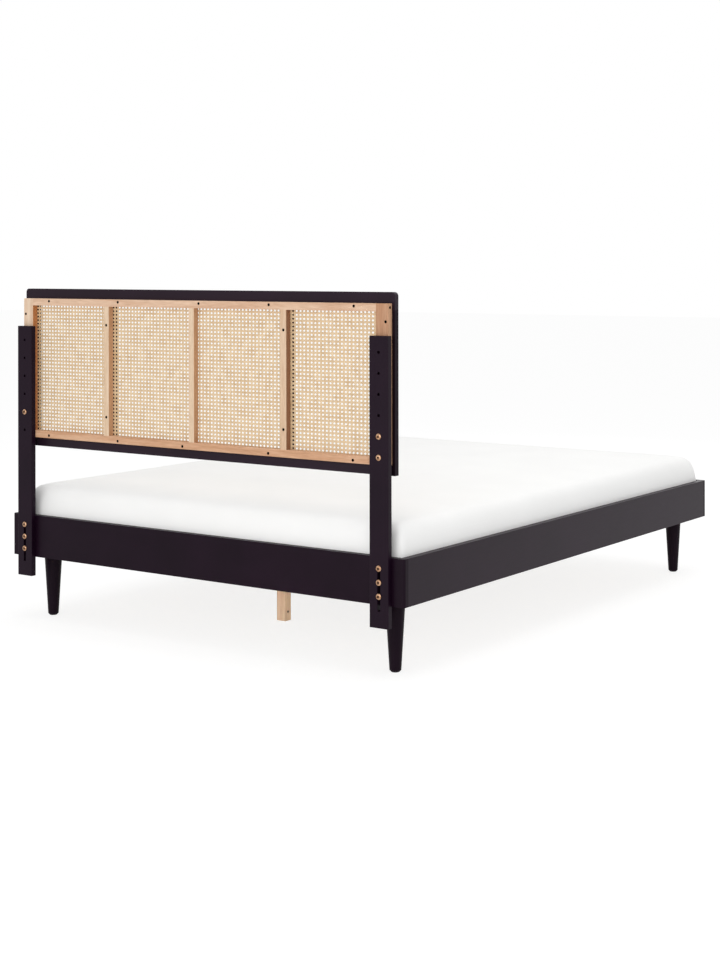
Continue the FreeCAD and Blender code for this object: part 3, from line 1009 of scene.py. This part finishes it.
@dataclass(frozen=True)
class Mattress:
    """A foam mattress in a plain knitted cover, with soft shoulders and a low crown.

    Sizes are in millimetres. The sides are drawn from the rows, and the top and the
    underside from the steps.

    Attributes:
        foot_rows: Inset and rise above the underside of the lower rows.
        shoulder_rows: Inset and drop below the top of the upper rows.
        top_steps: Insets of the first steps over the top, after the last row.
        crown: Inset and drop below the top of places on top.
        corner: Radius of the upright corners at the widest.
        corner_gain: Growth of that radius for each millimetre of inset.
        rounding: Power that rounds the crown's corners.
        cuts_x: Cuts across.
        cuts_y: Cuts along.
        swell: The most that the filling pushes the cover out.
        frames: Length of the cloth simulation.
        pressure: Its pressure.
        ease: Height over which the cover comes free above the rails.
    """

    foot_rows: Pairs = (
        (18.0, 0.0), (8.0, 3.5), (2.0, 11.0), (0.0, 23.0), (0.0, 45.0))
    shoulder_rows: Pairs = (
        (0.0, 107.0), (1.4, 84.0), (4.0, 66.0), (8.3, 50.5), (13.7, 37.0), (23.0, 25.0),
        (34.5, 17.5))
    top_steps: Row = (34.5, 48.0, 72.0, 110.0, 160.0)
    crown: Pairs = (
        (34.5, 17.5), (48.0, 13.5), (72.0, 10.5), (110.0, 8.2), (160.0, 5.9), (210.0, 4.2),
        (280.0, 2.8), (350.0, 1.6), (420.0, 0.9), (500.0, 0.4), (900.0, 0.0))
    corner: float = 16.0
    corner_gain: float = 0.2
    rounding: float = 5.0
    cuts_x: int = 43
    cuts_y: int = 55
    swell: float = 3.0
    frames: int = 16
    pressure: float = 3.5
    ease: float = 30.0

    def spread(self, share: float, cuts: int, half: float) -> float:
        """Return where a cut of the cube lies, closer together near the sides.

        Args:
            share: The cut's place on the cube, from -1 to 1.
            cuts: Number of cuts.
            half: Half of the mattress's size that way, in millimetres.

        Returns:
            Its place on the mattress as a share of the half size.
        """
        step = round((1 - abs(share)) * (cuts + 1) / 2)
        last = len(self.top_steps) - 1
        if step <= last:
            inset = self.top_steps[step]
        else:
            rest = (cuts + 1) / 2 - last
            inset = self.top_steps[last] + (half - self.top_steps[last]) * (step - last) / rest
        return math.copysign((half - inset) / (half - self.top_steps[0]), share)

    def drop_at(self, x: float, y: float, half: Vector) -> float:
        """Return how far a place on top lies below the highest level.

        Args:
            x: Place across, from the middle, in millimetres.
            y: Place along, from the middle, in millimetres.
            half: Half of the mattress's size in millimetres.

        Returns:
            The drop in millimetres.
        """
        sides = [(size - abs(at)) ** -self.rounding for size, at in ((half.x, x), (half.y, y))]
        inset = sum(sides) ** (-1 / self.rounding)
        for (inner, drop), (outer, after) in zip(self.crown, self.crown[1:]):
            if inset <= outer:
                share = max(0.0, (inset - inner) / (outer - inner))
                return drop + (after - drop) * share
        return 0.0

    def form(self, low: Vector, high: Vector) -> BMesh:
        """Draw the mattress from a cube that is cut into a grid.

        Args:
            low: Lowest corner of its space.
            high: Highest corner of its space.

        Returns:
            The mesh.
        """
        half, middle = (high - low) / 2 / MM, (high + low) / 2
        tall = (high.z - low.z) / MM
        rows = list(self.foot_rows) + [(inset, tall - drop) for inset, drop in self.shoulder_rows]
        # Past this place the cube's vertices stand on its sides.
        inside = 0.999
        shape = bmesh.new()
        bmesh.ops.create_cube(shape, size=2)
        for axis, cuts in ((0, self.cuts_x), (1, self.cuts_y), (2, len(rows) - 2)):
            edges = [edge for edge in shape.edges
                     if abs(edge.verts[0].co[axis] - edge.verts[1].co[axis]) > 1]
            bmesh.ops.subdivide_edges(shape, edges=edges, cuts=cuts, use_grid_fill=True)
        for vert in shape.verts:
            row = round((vert.co.z + 1) / 2 * (len(rows) - 1))
            inset, height = rows[row]
            on_top = row == len(rows) - 1 and max(abs(vert.co.x), abs(vert.co.y)) < inside
            x = (half.x - inset) * self.spread(vert.co.x, self.cuts_x, half.x)
            y = (half.y - inset) * self.spread(vert.co.y, self.cuts_y, half.y)
            radius = self.corner + self.corner_gain * inset
            corner_x = radius - (half.x - inset - abs(x))
            corner_y = radius - (half.y - inset - abs(y))
            if corner_x > 0 and corner_y > 0:
                shrink = 1 - max(corner_x, corner_y) / math.hypot(corner_x, corner_y)
                x -= math.copysign(corner_x * shrink, x)
                y -= math.copysign(corner_y * shrink, y)
            if on_top:
                height = tall - self.drop_at(x, y, half)
            vert.co = Vector((middle.x + x * MM, middle.y + y * MM, low.z + height * MM))
        return shape

    def fill(self, shop: Workshop, piece: Object, rest: float) -> None:
        """Let the filling press the cover out by a short cloth simulation, with a cap.

        Args:
            shop: The workshop.
            piece: The mattress.
            rest: Height below which the bed frame holds the cover.
        """
        before = [vertex.co.copy() for vertex in piece.data.vertices]
        cover = piece.modifiers.new("filling", "CLOTH").settings
        cover.quality = 6
        cover.mass = 0.4
        cover.tension_stiffness = 40
        cover.compression_stiffness = 40
        cover.bending_stiffness = 6
        cover.use_pressure = True
        cover.uniform_pressure_force = self.pressure
        cover.effector_weights.gravity = 0
        for frame in range(1, self.frames + 1):
            bpy.context.scene.frame_set(frame)
        shop.settle(piece)
        bpy.context.scene.frame_set(1)
        for start, vertex in zip(before, piece.data.vertices):
            shift = vertex.co - start
            freedom = min(1.0, max(0.0, (start.z - rest) / (self.ease * MM)))
            reach = self.swell * MM * freedom
            vertex.co = start + shift * min(1.0, reach / max(shift.length, reach, 1e-9))

    def build(self, shop: Workshop) -> None:
        """Make the mattress in place of the plain one.

        Args:
            shop: The workshop.
        """
        low, high = (Vector(corner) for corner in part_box("mattress"))
        piece = shop.place("mattress_cover", self.form(low, high), TICKING)
        self.fill(shop, piece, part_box("head_rail")[1][2])
        subdivision = piece.modifiers.new("soften", "SUBSURF")
        subdivision.levels = subdivision.render_levels = 1
        shop.settle(piece)
        piece.data.shade_smooth()
        shop.keep(piece, Body.MATTRESS, Slot.FABRIC, "mattress")


@dataclass(frozen=True)
class SoftLight:
    """A square soft light aimed at the bed.

    Attributes:
        name: Its name.
        place: Where it stands.
        size: Its side.
        power: Its power in watts.
        aim: Point that it faces.
        spread: Width of its beam in degrees.
    """

    name: str
    place: Point
    size: float
    power: float
    aim: Point = (0.0, 0.0, 0.5)
    spread: float = 180.0


@dataclass(frozen=True)
class Studio:
    """Camera, floor and lights.

    Attributes:
        camera_place: The camera's place.
        heading: Its turn about the vertical.
        roll: Its small turn about its own axis.
        lens: Focal length for a 36 mm frame.
        shift: Shift of the frame across and up.
        floor_half: Half of the floor's size.
        floor_glow: Strength of the floor's own light where it is seen.
        surround: Strength of the surround where it lights the bed.
        lights: The lights.
    """

    camera_place: Point = (-3.39521, 4.91355, 1.17977)
    heading: float = math.pi + 0.6040
    roll: float = -0.00127
    lens: float = 61.9005
    shift: Pair = (-0.02325, -0.2232)
    floor_half: float = 30.0
    floor_glow: float = 0.82
    surround: float = 0.62
    lights: tuple[SoftLight, ...] = (
        SoftLight("overhead", (-0.4, 0.1, 4.2), 3.6, 70),
        SoftLight("foot", (0.3, -4.6, 2.4), 2.6, 22),
        SoftLight("side", (-4.6, -0.8, 1.35), 2.6, 12),
        SoftLight("rear", (-1.2, 5.2, 1.45), 2.8, 42),
        SoftLight("viewer", (-3.4, 4.9, 1.7), 1.4, 30),
        SoftLight("low", (0.9, 4.4, 0.45), 0.8, 10),
        SoftLight("under", (-1.9, 3.0, 0.12), 0.2, 0.19, (0.0, 0.57, 0.05), 12.0),
    )

    def add_camera(self) -> None:
        """Add the camera at the photograph's place."""
        data = bpy.data.cameras.new("camera")
        data.lens = self.lens
        data.sensor_width = 36
        data.shift_x, data.shift_y = self.shift
        data.clip_end = 60
        camera = bpy.data.objects.new("camera", data)
        bpy.context.scene.collection.objects.link(camera)
        camera.matrix_world = (
            Matrix.Translation(self.camera_place)
            @ Matrix.Rotation(self.heading, 4, "Z")
            @ Matrix.Rotation(math.pi / 2, 4, "X") @ Matrix.Rotation(self.roll, 4, "Z"))
        bpy.context.scene.camera = camera

    def split(self, tree: Tree, lighting: Node, seen: Node, output: str) -> None:
        """Give the camera and reflections one shader and the lighting another.

        Args:
            tree: The node tree.
            lighting: Shader that lights the bed.
            seen: Shader that is seen, directly and in glossy or clear surfaces.
            output: Type of the tree's output node.
        """
        path = add_node(tree, "LightPath")
        factor = path.outputs["Is Camera Ray"]
        for name in ("Is Glossy Ray", "Is Transmission Ray"):
            factor = add_node(tree, "Math", {"operation": "MAXIMUM"},
                              {0: factor, 1: path.outputs[name]}).outputs[0]
        mix = add_node(tree, "MixShader", None,
                       {0: factor, 1: lighting.outputs[0], 2: seen.outputs[0]})
        add_node(tree, output, None, {"Surface": mix.outputs[0]})

    def add_floor(self) -> None:
        """Add a pale floor that looks near white and keeps a faint shadow of the bed."""
        shape = bmesh.new()
        bmesh.ops.create_grid(shape, x_segments=2, y_segments=2, size=self.floor_half)
        mesh = bpy.data.meshes.new("floor")
        shape.to_mesh(mesh)
        shape.free()
        # Matt white paint, rolled: even and without gloss.
        material = bpy.data.materials.new("rolled_white_paint")
        material.use_nodes = True
        tree = material.node_tree
        tree.nodes.clear()
        lit = add_node(tree, "BsdfDiffuse", {"Color": linear("f2f2f2")})
        dim = add_node(tree, "BsdfDiffuse", {"Color": linear("8a8a8a")})
        glow = add_node(tree, "Emission", {"Strength": self.floor_glow})
        both = add_node(tree, "AddShader", None, {0: dim.outputs[0], 1: glow.outputs[0]})
        self.split(tree, lit, both, "OutputMaterial")
        mesh.materials.append(material)
        floor = bpy.data.objects.new("floor", mesh)
        bpy.context.scene.collection.objects.link(floor)

    def add_world(self) -> None:
        """Add an even white surround that lights the bed at a plain level."""
        world = bpy.data.worlds.new("surround")
        bpy.context.scene.world = world
        world.use_nodes = True
        tree = world.node_tree
        tree.nodes.clear()
        fill, seen = (add_node(tree, "Background", {"Color": linear("ffffff"), "Strength": level})
                      for level in (self.surround, 1.0))
        self.split(tree, fill, seen, "OutputWorld")

    def add_light(self, light: SoftLight) -> None:
        """Add one light.

        Args:
            light: The light.
        """
        data = bpy.data.lights.new(light.name, "AREA")
        data.size = light.size
        data.energy = light.power
        data.spread = math.radians(light.spread)
        lamp = bpy.data.objects.new(light.name, data)
        lamp.visible_camera = False
        bpy.context.scene.collection.objects.link(lamp)
        aim = Vector(light.aim) - Vector(light.place)
        lamp.matrix_world = (
            Matrix.Translation(light.place) @ aim.to_track_quat("-Z", "Y").to_matrix().to_4x4())

    def build(self) -> None:
        """Set up everything round the bed."""
        self.add_camera()
        self.add_floor()
        self.add_world()
        for light in self.lights:
            self.add_light(light)
        bpy.context.scene.view_settings.view_transform = "Standard"
        LOG.info("studio: %d lights", len(self.lights))


def main() -> None:
    """Build the looks."""
    logging.basicConfig(level=logging.INFO)
    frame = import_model()
    shop = Workshop(frame["nodes"])
    shop.dress_nodes()
    Hardware().build(shop)
    CanePanel().build(shop)
    Mattress().build(shop)
    Studio().build()


if __name__ == "__main__":
    main()
